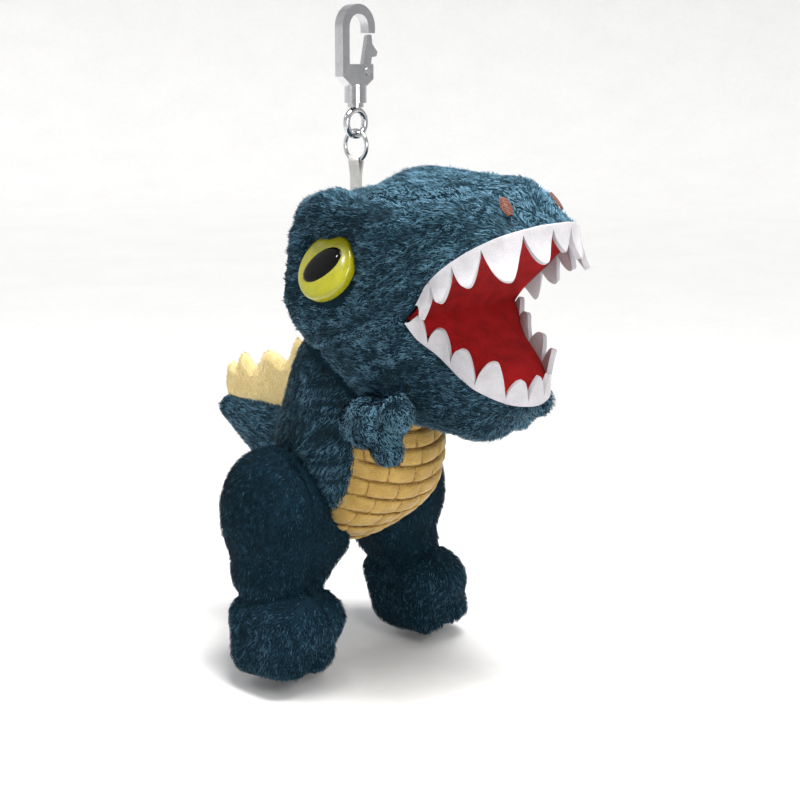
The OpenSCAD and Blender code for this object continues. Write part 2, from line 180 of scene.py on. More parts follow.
def floor_of(y):
    """Height of the mouth's floor."""
    s = -34 - y
    bent = np.maximum(s, 0)
    return -32.8 - 1.08 * s + 0.0135 * bent * bent


def head_form(p):
    s = right_side(p)
    skull = melt(blob(p, (0, -9, -33), (22.6, 21.5, 17)),
                 (9, blob(p, (0, -9, -20), (16.5, 20, 15))),
                 (5, taper(s, (-14.2, -0.6, -17), (-14.9, -0.1, -30), 6.5, 6.5)))
    snout = taper(p, (0, -25.5, -16.2), (0, -45.5, -11.4), 16.9, 10.7, 1.34)
    upper_lip = blob(p, (0, -41.4, -22.9), (20, 23, 8), -31)
    jaw = taper(p, (0, -20, -45.2), (0, -40, -51.3), 15, 10.2, 1.28)
    lower_lip = blob(p, (0, -39.5, -41.3), (15, 18.3, 9.5), 33)
    cheek = blob(s, (-11, -26, -34), (10.3, 14, 15))
    return melt(skull, (6, snout), (6, upper_lip), (9, jaw), (5, lower_lip), (6, cheek))


def crown_edge(p):
    """Distance inwards from the crown's seam."""
    half = np.interp(p[:, 1], [-60, -51, -43, -34, -28], [4.2, 6.2, 9.4, 12.8, 15.4])
    return half - np.abs(p[:, 0])


def cheek_line(p):
    """Distance above the seam that runs from the mouth's corner down to the neck."""
    y, z = p[:, 1], p[:, 2]
    back = np.interp(y, [-33, -27, -12, 5], [-32, -35, -40, -46])
    return z - back


def head_cloth(p):
    top = np.clip((p[:, 2] + 22) / 6, 0, 1)
    cheek = groove(cheek_line(p), 0.5) * (p[:, 1] > CHEEK_FRONT)
    return head_form(p) + PILE + groove(crown_edge(p), 0.8, 0.9) * top + cheek


def brow_form(p):
    s = right_side(p)
    rear = taper(s, (-14, -1.8, -12.8), (-16.6, -10, -10.9), 5.9, 6.2)
    return smooth_min(rear, taper(s, (-16.6, -10, -10.9), (-18, -22, -10.2), 6.2, 3.6), 1)


def body_form(p):
    body = blob(p, (0, 0, -69), (19.8, 22, 25.7), 16)
    # The belly's quilting pulls its lower end flat
    under = -0.587 * p[:, 1] - 0.81 * p[:, 2] + 0.012 * p[:, 0] ** 2 - 76.5
    body = -smooth_min(-body, -under, 3)
    return smooth_min(body, blob(p, (0, -2, -50), (17.5, 16, 16)), 8)


def tail_form(p):
    return taper(p, (0, 18, -74), (0, 46, -67), 12, 4.5)


def leg_form(p):
    s = right_side(p)
    # The left foot splays outwards and forwards
    splay = 0.2 * np.clip(-98 - s[:, 2], 0, 30) * (p[:, 0] > 0)
    s = s + splay[:, None] * np.array([0.68, 0.73, 0])
    thigh = melt(blob(s, (-20.5, 8, -84.8), (12, 16.5, 18.2)),
                 (4, blob(s, (-21.2, 7.4, -99.4), (10.8, 12.4, 8.4))),
                 (4, taper(s, (-12.6, 1.5, -90), (-18, 4, -99), 8.6, 7)))
    foot = smooth_min(box(s, (-21.9, 4.8, -113.2), (11.3, 11.8, 11.4), 7, -4),
                      blob(s, (-20.8, -4.5, -108), (9.6, 8, 7.8)), 4)
    # The sole turns up towards the outer toe
    toe = np.maximum(-0.73 * (s[:, 0] + 21.9) - 0.68 * (s[:, 1] - 4.8), 0)
    foot = -smooth_min(-foot, s[:, 2] + 124.4 - 0.2 * toe, 2)
    cleft = groove(s[:, 0] + 21.5, 1.3, 1.3) * np.clip((2 - s[:, 1]) / 6, 0, 1)
    return smooth_min(thigh, foot, 1.6) + cleft * np.clip((-110 - s[:, 2]) / 5, 0, 1)


def arm_form(p):
    # The left arm lies closer to the chest and a little lower
    def paws(root, wrist, over, under):
        palm = (np.array(over) + under) / 2 + (0, 1.2, 0)
        return melt(taper(s, root, wrist, 6.6, 6), (1.5, blob(s, palm, (4.4, 4.2, 5))),
                    (1.2, blob(s, over, (4.6, 4.8, 4.8))), (1.2, blob(s, under, (4.2, 5, 4.4))))

    s = right_side(p)
    right = paws((-18, -20, -57), (-23.3, -29.4, -55.4), (-24.8, -36.3, -51), (-24.3, -33, -59.8))
    left = paws((-18, -20, -56), (-21, -30.4, -55.6), (-22.3, -37.8, -55.8), (-21.4, -32.4, -60))
    return np.where(p[:, 0] < 0, right, left)


RIDGE = np.array([[13, -46], [18.5, -46.8], [20.8, -45.4], [22.4, -47], [24.2, -51.4], [26, -52.2],
                  [28.4, -50.6], [31.5, -50], [33.8, -51], [35.8, -54.4], [37.6, -55], [39.4, -53],
                  [41.5, -51.8], [43, -53], [44.2, -55.4], [46.2, -54.8], [48, -56], [48.6, -60],
                  [48.4, -64], [30, -72], [14, -62]])
RIDGE_HALF = 1.6


def ridge_form(p):
    a = RIDGE
    b = np.roll(a, -1, 0)
    q = p[:, 1:]
    best = np.full(len(q), 1e9)
    inside = np.zeros(len(q), bool)
    for (ay, az), (by, bz) in zip(a, b):
        e = np.array([by - ay, bz - az])
        w = q - (ay, az)
        t = np.clip(w @ e / (e @ e), 0, 1)
        best = np.minimum(best, np.linalg.norm(w - t[:, None] * e, axis=-1))
        crosses = (az > q[:, 1]) != (bz > q[:, 1])
        at = ay + e[0] * (q[:, 1] - az) / (e[1] if e[1] else 1e-9)
        inside ^= crosses & (q[:, 0] < at)
    flat = np.where(inside, -best, best)
    # The two faces swell away from the edge
    half = RIDGE_HALF * np.clip(np.sqrt(np.maximum(-flat, 0.02) / 2.2), 0.12, 1)
    across = np.abs(p[:, 0]) - half
    return np.maximum(flat, across)


def patch_edge(p):
    """Distance inwards from the belly patch's seam."""
    x, z = p[:, 0], p[:, 2]
    side = 14.2 - np.abs(x) - 0.05 * np.maximum(z + 70, 0) - 0.4 * np.maximum(z + 60, 0)
    bottom = (z + 94.3 - 0.5 * np.abs(x)) * 0.9
    return np.minimum(smooth_min(side, bottom, 2), 6 - p[:, 1])


# -------- meshes


def surface(field, low, high, cell):
    """Surface nets: points and quads on the field's zero level."""
    low, high = np.array(low, float), np.array(high, float)
    n = np.ceil((high - low) / cell).astype(int) + 1
    axes = [low[k] + cell * np.arange(n[k]) for k in range(3)]
    grid = np.stack(np.meshgrid(*axes, indexing="ij"), -1).reshape(-1, 3)
    d = field(grid).reshape(n)
    d = np.where(d == 0, 1e-6, d)
    m = n - 1
    total = np.zeros((*m, 3))
    count = np.zeros(m, int)
    for axis in range(3):
        u, v = [k for k in range(3) if k != axis]
        for du in (0, 1):
            for dv in (0, 1):
                a = [None] * 3
                a[axis], a[u], a[v] = slice(0, m[axis]), slice(du, du + m[u]), slice(dv, dv + m[v])
                b = list(a)
                b[axis] = slice(1, m[axis] + 1)
                da, db = d[tuple(a)], d[tuple(b)]
                cross = (da < 0) != (db < 0)
                t = np.where(cross, da / np.where(cross, da - db, 1), 0)
                point = np.zeros((*m, 3))
                point[..., axis], point[..., u], point[..., v] = t, du, dv
                total += point * cross[..., None]
                count += cross
    used = count > 0
    index = np.full(m, -1)
    index[used] = np.arange(used.sum())
    cells = np.stack(np.nonzero(used), -1)
    points = low + cell * (cells + total[used] / count[used][:, None])
    quads = []
    for axis in range(3):
        u, v = (axis + 1) % 3, (axis + 2) % 3
        s = [slice(0, n[k]) for k in range(3)]
        s[axis] = slice(0, n[axis] - 1)
        a, b = list(s), list(s)
        b[axis] = slice(1, n[axis])
        cross = (d[tuple(a)] < 0) != (d[tuple(b)] < 0)
        at = np.stack(np.nonzero(cross), -1)
        at = at[(at[:, u] > 0) & (at[:, v] > 0) & (at[:, u] < n[u] - 1) & (at[:, v] < n[v] - 1)]
        flip = d[tuple(at.T)] > 0
        corners = []
        for ou, ov in ((1, 1), (0, 1), (0, 0), (1, 0)):
            c = at.copy()
            c[:, u] -= ou
            c[:, v] -= ov
            corners.append(index[tuple(c.T)])
        q = np.stack(corners, -1)
        q[flip] = q[flip][:, ::-1]
        quads.append(q)
    quads = np.concatenate(quads)
    for _ in range(3):
        g = gradient(field, points)
        points = points - g * np.clip(field(points) / np.maximum((g * g).sum(-1), 0.2), -cell / 2,
                                      cell / 2)[:, None]
    return points, quads[(quads >= 0).all(1)]


def trim(shape, keep, field=None):
    """Keeps the faces where keep is above zero, and slides their edge on to the seam."""
    points, faces = shape
    faces = faces[(keep(points)[faces] > 0).any(1)]
    used, new = np.unique(faces, return_inverse=True)
    points, faces = points[used], new.reshape(faces.shape)
    edge = np.flatnonzero(keep(points) <= 0)
    for _ in range(5):
        p = points[edge]
        g = gradient(keep, p)
        if field is not None:
            n = normals_of(field, p)
            g = g - n * (g * n).sum(-1, keepdims=True)
        move = g * (keep(p) / np.maximum((g * g).sum(-1), 0.15))[:, None]
        size = np.linalg.norm(move, axis=-1, keepdims=True)
        p = p - move * np.minimum(1, 1.2 / np.maximum(size, 1e-9))
        if field is not None:
            p = p - normals_of(field, p) * field(p)[:, None]
        points[edge] = p
    return points, faces


def grid(rows, columns, closed=False):
    """Quads between rows of points; closed joins each row's end to its start."""
    i, j = np.meshgrid(np.arange(rows - 1), np.arange(columns if closed else columns - 1),
                       indexing="ij")
    k = (j + 1) % columns
    return np.stack([i * columns + j, i * columns + k, (i + 1) * columns + k,
                     (i + 1) * columns + j], -1).reshape(-1, 4)


def new_mesh(name, points, faces):
    """A smooth mesh from points in millimetres and faces, in one array or a list of arrays."""
    groups = faces if isinstance(faces, list) else [faces]
    groups = [np.asarray(g) for g in groups if len(g)]
    mesh = bpy.data.meshes.new(name)
    loops = np.concatenate([g.ravel() for g in groups])
    sizes = np.concatenate([np.full(len(g), g.shape[1]) for g in groups])
    mesh.vertices.add(len(points))
    mesh.vertices.foreach_set("co", metres(points).astype(np.float32).ravel())
    mesh.loops.add(len(loops))
    mesh.loops.foreach_set("vertex_index", loops.astype(np.int32))
    mesh.polygons.add(len(sizes))
    starts = np.concatenate([[0], np.cumsum(sizes)[:-1]])
    mesh.polygons.foreach_set("loop_start", starts.astype(np.int32))
    mesh.polygons.foreach_set("use_smooth", np.full(len(sizes), True))
    mesh.update(calc_edges=True)
    mesh.validate()
    return mesh


def place(name, data):
    """A new object in the scene."""
    obj = bpy.data.objects.new(name, data)
    bpy.context.scene.collection.objects.link(obj)
    return obj


def thicken(obj, name, thickness, offset):
    """Thickens a sheet: inwards at offset -1, and both ways at 0."""
    solid = obj.modifiers.new(name, "SOLIDIFY")
    solid.thickness = thickness * MM
    solid.offset = offset


def round_edges(obj, name, width, segments, angle):
    """Rounds the edges that turn by more than angle degrees."""
    edge = obj.modifiers.new(name, "BEVEL")
    edge.width = width * MM
    edge.segments = segments
    edge.limit_method = "ANGLE"
    edge.angle_limit = math.radians(angle)
    return edge


def piece(name, mesh, materials, body, replaces=(), blend=None, thick=0.0):
    """Puts a mesh in the scene, riding on its body, or with its transform baked in place when blend
    is given.
    """
    obj = place(name, mesh)
    for surface_material in materials:
        mesh.materials.append(surface_material)
    if thick:
        thicken(obj, "cloth", thick, -1)
    if blend:
        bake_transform(obj)
    else:
        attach(obj, body)
    if replaces:
        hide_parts(*replaces)
    return obj


# -------- materials


def shader(m):
    return m.node_tree.nodes["Principled BSDF"]


def material(name, colour, rough=0.8, metal=0.0, sheen=0.0, coat=0.0, specular=0.5):
    m = bpy.data.materials.new(name)
    m.use_nodes = True
    values = {"Base Color": (*colour, 1), "Roughness": rough, "Metallic": metal,
              "Sheen Weight": sheen, "Sheen Roughness": 0.4, "Coat Weight": coat,
              "Specular IOR Level": specular}
    for key, value in values.items():
        shader(m).inputs[key].default_value = value
    return m


def node(m, kind, **values):
    n = m.node_tree.nodes.new(kind)
    for key, value in values.items():
        if key in n.inputs:
            n.inputs[key].default_value = value
        else:
            setattr(n, key, value)
    return n


def link(m, a, b):
    m.node_tree.links.new(a, b)


BROAD_SHARE = 0.45           # how much of the mottling is broad rather than fine
TONE_RANGE = (0.36, 0.64)    # the noise's values for the dark and the light tone


def mottled(name, dark, light, size, bump=0.2, depth=0.0002, **look):
    """A material that varies between two tones with fine noise, and is bumped by it."""
    m = material(name, light, **look)
    b = shader(m)
    at = node(m, "ShaderNodeTexCoord")
    fine = node(m, "ShaderNodeTexNoise", Scale=1 / (size * MM), Detail=5.0, Roughness=0.62)
    broad = node(m, "ShaderNodeTexNoise", Scale=1 / (size * 9 * MM), Detail=3.0)
    for n in (fine, broad):
        link(m, at.outputs["Object"], n.inputs["Vector"])
    mix = node(m, "ShaderNodeMath", operation="MULTIPLY_ADD")
    mix.inputs[1].default_value = BROAD_SHARE
    link(m, broad.outputs["Fac"], mix.inputs[0])
    rest = node(m, "ShaderNodeMath", operation="MULTIPLY")
    rest.inputs[1].default_value = 1 - BROAD_SHARE
    link(m, fine.outputs["Fac"], rest.inputs[0])
    link(m, rest.outputs[0], mix.inputs[2])
    ramp = node(m, "ShaderNodeValToRGB")
    for element, position, tone in zip(ramp.color_ramp.elements, TONE_RANGE, (dark, light)):
        element.position = position
        element.color = (*tone, 1)
    link(m, mix.outputs[0], ramp.inputs["Fac"])
    link(m, ramp.outputs["Color"], b.inputs["Base Color"])
    raised = node(m, "ShaderNodeBump", Strength=bump, Distance=depth)
    link(m, fine.outputs["Fac"], raised.inputs["Height"])
    link(m, raised.outputs["Normal"], b.inputs["Normal"])
    return m


def woven(name, dark, light, pitch, direction, bump=0.5, **look):
    """A mottled cloth with ribs across one direction."""
    m = mottled(name, dark, light, pitch * 0.8, bump=bump, **look)
    b = shader(m)
    at = node(m, "ShaderNodeTexCoord")
    wave = node(m, "ShaderNodeTexWave", Scale=1 / (pitch * MM) / 3.2, Distortion=0.8, Detail=1.0)
    wave.bands_direction = direction
    link(m, at.outputs["Object"], wave.inputs["Vector"])
    raised = node(m, "ShaderNodeBump", Strength=bump, Distance=pitch * MM * 0.3)
    link(m, wave.outputs["Fac"], raised.inputs["Height"])
    link(m, b.inputs["Normal"].links[0].from_socket, raised.inputs["Normal"])
    link(m, raised.outputs["Normal"], b.inputs["Normal"])
    return m


def tones(name, root, base, spread, specular=0.18):
    """Shades of pile: a dark one for the roots, painted shade deep in the pile, then a run from
    dark to light for the tips.
    """
    made = [material(name + "_root", root, rough=0.95, specular=0.1)]
    for i, k in enumerate(spread):
        # The lightest tones are also paler: painted sheen, the greyish whitening of lit pile
        colour = tuple(min(1.0, c * k + 0.028 * max(k - 1, 0)) for c in base)
        made.append(material(f"{name}_{i}", colour, rough=0.75, specular=specular))
    return made


TEAL = tones("teal_pile", (0.005, 0.018, 0.03), (0.022, 0.066, 0.098),
             (0.3, 0.6, 1.0, 1.55, 2.4))
# A darker copy of the teal pile for the legs: painted shade, as less light falls on the lower body
SHADED_LEG_PILE = tones("shaded_leg_pile", (0.002, 0.011, 0.02), (0.0075, 0.035, 0.058),
                  (0.4, 0.65, 1.0, 1.5, 2.2), specular=0.08)
CREAM = tones("cream_pile", (0.62, 0.48, 0.2), (0.83, 0.68, 0.35), (0.9, 0.95, 1.0, 1.02, 1.05))
# The cloth under the pile is made dark: painted shade, so that bare seams and gaps read as shadows
CLOTH_IN_SHADE = mottled("cloth_in_shade", (0.003, 0.011, 0.018), (0.008, 0.028, 0.044), 0.5, rough=0.95,
                     specular=0.1)
CREAM_CLOTH = mottled("cream_cloth", (0.66, 0.5, 0.2), (0.85, 0.7, 0.36), 0.5, bump=0.5,
                      rough=0.9, sheen=0.2)
GOLD_CLOTH = woven("gold_cloth", (0.29, 0.17, 0.03), (0.46, 0.3, 0.075), 0.5, "Z", bump=0.35,
                   rough=0.8, sheen=0.3)
GOLD_STITCH = woven("gold_stitch", (0.17, 0.085, 0.014), (0.29, 0.17, 0.035), 0.5, "Z", bump=0.35,
                    rough=0.85)
VELVET = mottled("red_velvet", (0.18, 0.0025, 0.003), (0.34, 0.006, 0.008), 0.35, bump=0.35,
                 rough=0.9, sheen=0.05, specular=0.15)
FELT = mottled("white_felt", (0.36, 0.35, 0.375), (0.46, 0.45, 0.475), 0.28, bump=0.45,
               depth=0.00025, rough=0.95, sheen=0.3)
WADDING = mottled("wadding", (0.7, 0.7, 0.68), (0.88, 0.88, 0.86), 0.6, bump=0.7, rough=1.0)
SATIN = woven("satin_ribbon", (0.5, 0.48, 0.46), (0.68, 0.67, 0.65), 0.32, "Z", bump=0.5,
              rough=0.42, sheen=0.15)
THREAD = mottled("nostril_thread", (0.05, 0.009, 0.003), (0.21, 0.045, 0.012), 0.2, rough=0.45,
                 sheen=0.3)
IRIS = mottled("eye_plastic", (0.24, 0.23, 0.004), (0.33, 0.32, 0.008), 2.5, bump=0.0, rough=0.22,
               coat=0.3)
PUPIL = mottled("pupil_plastic", (0.0004, 0.0004, 0.0004), (0.0012, 0.001, 0.0008), 2.0, bump=0.0,
                rough=0.04, specular=0.2)
WASHER = mottled("washer_plastic", (0.7, 0.7, 0.68), (0.8, 0.8, 0.78), 1.0, bump=0.1, rough=0.5)
CHROME = mottled("bright_metal", (0.5, 0.5, 0.51), (0.62, 0.62, 0.64), 0.8, bump=0.04,
                 rough=0.16, metal=1.0)
STEEL = mottled("spring_steel", (0.45, 0.45, 0.46), (0.62, 0.62, 0.64), 0.3, bump=0.1,
                rough=0.3, metal=1.0)

# -------- pile


BLADE = 0.16          # width of a blade of pile


def scatter(shape, field, density, rng):
    """Random points on a shape, evenly spread."""
    points, faces = shape
    a, b, c, d = (points[faces[:, k]] for k in range(4))
    tri = np.concatenate([np.stack([a, b, c], 1), np.stack([a, c, d], 1)])
    area = np.linalg.norm(np.cross(tri[:, 1] - tri[:, 0], tri[:, 2] - tri[:, 0]), axis=-1) / 2
    count = int(area.sum() * density)
    pick = rng.choice(len(tri), count, p=area / area.sum())
    u, v = rng.random(count), rng.random(count)
    over = u + v > 1
    u[over], v[over] = 1 - u[over], 1 - v[over]
    t = tri[pick]
    root = t[:, 0] + u[:, None] * (t[:, 1] - t[:, 0]) + v[:, None] * (t[:, 2] - t[:, 0])
    return root - normals_of(field, root) * field(root)[:, None]


def streaks(root, across, along, out):
    """A tone that varies quickly across the comb and slowly along it."""
    lines = np.stack([np.einsum("ij,ij->i", root, way) * scale
                      for way, scale in ((across, 1), (along, 0.22), (out, 0.3))], -1)
    return 0.75 * noise(lines, 0.6, 31) + 0.3 * noise(lines, 1.5, 32) + 0.2 * noise(root, 7.0, 33)


def pile(name, shape, field, comb, body, density, length=1.75, lift=0.4, shades=TEAL, keep=None,
         blend=None, slot="body_plush", seed=1, bright=lambda p: 0.0, cut=lambda p: 1.0):
    """Blades of pile on a shape, each with a dark root, painted shade deep in the pile, and a tip
    in one of the shades.
    """
    rng = np.random.default_rng(seed)
    root = scatter(shape, field, density, rng)
    if keep is not None:
        root = root[keep(root) > 0]
    count = len(root)
    n = normals_of(field, root)
    way = comb(root, n)
    rise = lift
    if isinstance(way, tuple):
        way, rise = way
    way = way - n * (way * n).sum(-1, keepdims=True)
    way = way / np.maximum(np.linalg.norm(way, axis=-1, keepdims=True), 1e-6)
    side = np.cross(n, way)
    rise = np.broadcast_to(rise, count)[:, None]
    # Neighbours lean together, which makes the pile part and clump
    clump = np.stack([noise(root, 1.1, 11 + k) for k in range(3)], -1)
    curl = np.stack([noise(root, 3.2, 21 + k) for k in range(3)], -1)
    jitter = rng.normal(0, 0.1, (count, 3))
    size = (length * cut(root) * (0.75 + 0.4 * rng.random(count)))[:, None]
    lean = way * (1 - rise * 0.45) + n * rise * 0.7
    middle = root + size * 0.45 * (lean + n * 0.25 + 0.5 * jitter + 0.2 * clump)
    tip = root + size * (lean * 0.95 + 0.36 * clump + 0.24 * curl + jitter)
    sunk = np.einsum("ij,ij->i", tip - root, n)
    tip = tip + n * np.maximum(0.25 - sunk, 0)[:, None]
    turn = rng.uniform(-0.5, 0.5, count)[:, None]
    flat = side * np.cos(turn) + n * np.sin(turn)
    w = BLADE * (0.7 + 0.6 * rng.random(count))[:, None]
    root = root - n * 0.12
    corners = np.stack([root - flat * w * 0.45, root + flat * w * 0.45, middle - flat * w * 0.5,
                        middle + flat * w * 0.5, tip], 1).reshape(-1, 3)
    first = 5 * np.arange(count)[:, None]
    mesh = new_mesh(name, corners, [first + np.array([0, 2, 3, 1]), first + np.array([2, 4, 3])])
    # The last term lifts or lowers the tips' tones by panel and height: painted light and shade
    tone = streaks(root, side, way, n) + 0.18 * rng.normal(0, 1, count) + bright(root)
    top = len(shades) - 2
    grade = np.clip(np.round(top / 2 + tone * top / 1.25), 0, top).astype(np.int32)
    # About half of the blades are as dark as the roots in their lower part: painted shade down in
    # the pile
    lower = np.where(rng.random(count) < 0.55, 0, np.maximum(grade, 1))
    mesh.polygons.foreach_set("material_index", np.concatenate([lower, grade + 1]).astype(np.int32))
    soft = n * 0.85 + way * 0.15 + 0.1 * rng.normal(0, 1, (count, 3)) + 0.3 * clump
    soft /= np.linalg.norm(soft, axis=-1, keepdims=True)
    mesh.normals_split_custom_set_from_vertices(np.repeat(soft, 5, 0).tolist())
    return piece(name, mesh, shades, body, blend=blend)


def steady(outwards, y, z):
    """A comb that runs one way everywhere, mirrored on the other side."""
    def comb(p, n):
        return np.stack([np.sign(p[:, 0]) * outwards, np.full(len(p), y), np.full(len(p), z)], -1)
    return comb


def head_comb(p, n):
    front = np.clip((-25 - p[:, 1]) / 20, 0, 1)
    top = np.clip((p[:, 2] + 16) / 6, 0, 1)
    edge = crown_edge(p)
    part = np.where(edge < 0, 0.5, 0.15) * np.exp(-(edge / 1.8) ** 2) * top
    x = np.sign(p[:, 0]) * (0.3 * top - 0.1 - part)
    return np.stack([x, np.ones(len(p)), -0.12 - 0.3 * front * (1 - top)], -1)


def arm_comb(p, n):
    paw = np.clip((-31 - p[:, 1]) / 5, 0, 1)
    way, away = steady(0.1, -1.0, -0.5)(p, n), steady(0.0, -0.6, -1.0)(p, n)
    return way * (1 - paw[:, None]) + away * paw[:, None], 0.4 + 0.3 * paw


def leg_comb(p, n):
    foot = np.clip((-112 - p[:, 2]) / 8, 0, 1)
    return np.stack([0 * foot, 0.25 - 0.4 * foot, -np.ones(len(p))], -1)


def all_of(*tests):
    return lambda p: np.min([t(p) for t in tests], axis=0)


# -------- plush skins

JAW_BLEND = ("jaw", "plush", tuple(metres([0, -31, -40])), tuple(metres([0, -14, -44])))
EYE_AT = np.array([20.6, -11, -22.4])
EYE_DIR = np.array([0.885, 0.02, 0.465])
EYE_DIR = EYE_DIR / np.linalg.norm(EYE_DIR)
EYE_R = 8.0


def from_eye(p):
    """Height over the nearer eye's seat, and distance outside its rim."""
    q = np.stack([np.abs(p[:, 0]), p[:, 1], p[:, 2]], -1) - EYE_AT
    height = q @ EYE_DIR
    return height, np.linalg.norm(q - height[:, None] * EYE_DIR, axis=-1) - EYE_R


def eye_gap(p):
    """Distance outside the eyes' rims."""
    height, gap = from_eye(p)
    return np.where(height > -6, gap, FAR)


def head_with_seats(p):
    """The head's cloth, dished where the eyes sit."""
    height, _ = from_eye(p)
    return np.maximum(head_cloth(p), np.where(eye_gap(p) < 1.5, height - 0.2, -FAR))


def panel(name, cloth, low, high, cell, keep, comb, body, density=8.0, hide=None, **more):
    """A sewn panel: its cloth, cut where keep says, and the pile on it."""
    shape = trim(surface(cloth, low, high, cell), keep, cloth)
    piece(name, new_mesh(name, *shape), [CLOTH_IN_SHADE], body, [name],
          more.get("blend"), CLOTH)
    pile(name + "_pile", shape, cloth, comb, body, density, keep=hide, **more)


def head_side(side):
    def keep(p):
        outside_crown = np.maximum(-crown_edge(p), CROWN_LOW - p[:, 2])
        over_mouth = p[:, 2] - roof(p[:, 1]) + FAR * (p[:, 1] > CORNER_Y)
        over_cheek = cheek_line(p) + FAR * (p[:, 1] < CORNER_Y)
        return np.min([p[:, 0] * side, over_mouth, over_cheek, outside_crown, body_form(p) + 4],
                      axis=0)
    return keep


def crown_keep(p):
    return np.min([crown_edge(p), p[:, 2] - CROWN_LOW, p[:, 2] - roof(p[:, 1])], axis=0)


def clear_of_eyes(p):
    return eye_gap(p) - 0.25 - 0.35 * np.clip((-11 - p[:, 1]) / 6, 0, 1)


def cut_by_eyes(p):
    """The pile is trimmed shorter round the eyes."""
    return np.clip(0.55 + eye_gap(p) / 3.5, 0.55, 1)


def clear_of_mouth(p):
    """Distance of the pile's roots from the mouth's edges."""
    ahead = p[:, 1] < CORNER_Y
    up, down = p[:, 2] - roof(p[:, 1]), floor_of(p[:, 1]) - p[:, 2]
    return np.where(ahead, np.maximum(up, down) - 0.55, FAR)


def clear_of_seams(p):
    """Distance from the head's seams, where the pile is caught in the stitching."""
    crown = np.where(p[:, 2] > CROWN_LOW, np.abs(crown_edge(p)), FAR)
    cheek = np.where(p[:, 1] > CHEEK_FRONT, np.abs(cheek_line(p)), FAR)
    return np.minimum(crown, cheek)


def cut_by_seams(p):
    """The pile is caught shorter along the seams."""
    return np.clip(0.3 + clear_of_seams(p) / 1.8, 0.3, 1)


def seam_light(p):
    """The pile stands up and catches the light beside a seam."""
    return 0.8 * np.exp(-((clear_of_seams(p) - 1.1) / 0.7) ** 2)


NAMES = ((-1, "right"), (1, "left"))

for side, word in NAMES:
    low = (min(0, side * 30) - 1, -64, -66)
    high = (max(0, side * 30) + 1, 16, 0)
    # The head panels' pile is painted a little lighter all over, and lighter beside the seams:
    # painted light
    panel(f"head_panel_{word}", head_with_seats, low, high, 0.8, head_side(side), head_comb,
          "plush",
          hide=all_of(clear_of_eyes, clear_of_mouth, body_form,
                      lambda p: clear_of_seams(p) - 0.42),
          seed=20 + side, bright=lambda p: seam_light(p) + 0.12,
          cut=lambda p: np.minimum(cut_by_eyes(p), cut_by_seams(p)))
# The crown's pile is painted lighter, and lighter still beside its seams: painted light on the top
# of the head
panel("crown_panel", head_cloth, (-20, -64, -24), (20, 16, 0), 0.8, crown_keep, head_comb,
      "plush", hide=lambda p: clear_of_seams(p) - 0.42, seed=31,
      bright=lambda p: seam_light(p) + 0.3, cut=cut_by_seams)


for side, word in NAMES:
    low = (min(side * 8, side * 26), -32, -24)
    high = (max(side * 8, side * 26), 8, -2)
    panel(f"brow_roll_{word}", lambda p: brow_form(p) + PILE * 0.9, low, high, 0.7,
          lambda p, side=side: np.minimum(p[:, 0] * side, head_form(p) + 3), head_comb, "plush",
          density=7.0, hide=lambda p: head_form(p) + 0.6, lift=0.6, seed=41 + side)


def jaw_keep(p):
    under_mouth = floor_of(p[:, 1]) - p[:, 2] + FAR * (p[:, 1] > CORNER_Y)
    under_cheek = -cheek_line(p) + FAR * (p[:, 1] < CORNER_Y)
    return np.min([under_mouth, under_cheek, body_form(p) + 4], axis=0)


# The jaw's pile is painted a little lighter: painted light
panel("jaw_panel", head_cloth, (-30, -64, -66), (30, 12, -30), 0.8, jaw_keep,
      steady(0.1, 1.0, 0.15), "jaw", hide=all_of(body_form, clear_of_mouth), blend=JAW_BLEND,
      seed=51, bright=lambda p: 0.15)


def body_cloth(p):
    return body_form(p) + PILE + groove(patch_edge(p), 0.5) + groove(p[:, 0]) * (p[:, 1] > 0)


def body_keep(side):
    return lambda p: np.min([p[:, 0] * side, -patch_edge(p), head_form(p) + 5,
                             tail_form(p) + 3], axis=0)


for side, word in NAMES:
    low = (min(0, side * 24) - 1, -27, -98)
    high = (max(0, side * 24) + 1, 27, -32)
    hidden = all_of(head_form, lambda p: leg_form(p) + 0.4, lambda p: arm_form(p) + 0.4,
                    lambda p: tail_form(p) + 0.4)
    panel(f"body_panel_{word}", body_cloth, low, high, 0.9, body_keep(side),
          steady(0.15, 0.5, -1.0), "plush", hide=hidden, seed=61 + side)
    panel(f"tail_panel_{word}", lambda p: tail_form(p) + PILE + groove(p[:, 0]),
          (low[0], 4, -90), (high[0], 54, -56), 0.8,
          lambda p, side=side: np.minimum(p[:, 0] * side, body_form(p) + 3),
          steady(0.0, 1.0, 0.1), "plush", hide=lambda p: body_form(p) + 0.4, seed=71 + side)

# How far from the middle the seams lie that join the outer panels to the inner ones
LEG_SEAM = 21.0
ARM_SEAM = 22.5


def limb(kind, cloth, seam, low, high, comb, density, **look):
    """Both panels of a limb on both sides."""
    for side, word in NAMES:
        for part, sign in (("outer", 1), ("inner", -1)):
            def keep(p, side=side, sign=sign):
                return np.minimum((p[:, 0] * side - seam) * sign, body_form(p) + 3)
            near, far = (seam - 19, seam + 1) if part == "inner" else (seam - 1, seam + 18)
            left, right = sorted((side * near, side * far))
            panel(f"{kind}_{word}_{part}", cloth, (left, *low), (right, *high), 0.8, keep, comb,
                  f"{word}_{kind}", density=density, hide=lambda p: body_form(p) + 0.6,
                  length=1.6, seed=81 + side + 3 * sign, **look)


def leg_cloth(p):
    s = np.abs(p[:, 0])
    return leg_form(p) + PILE + groove(s - LEG_SEAM, 0.5)


def arm_cloth(p):
    return arm_form(p) + PILE + groove(np.abs(p[:, 0]) - ARM_SEAM, 0.3)


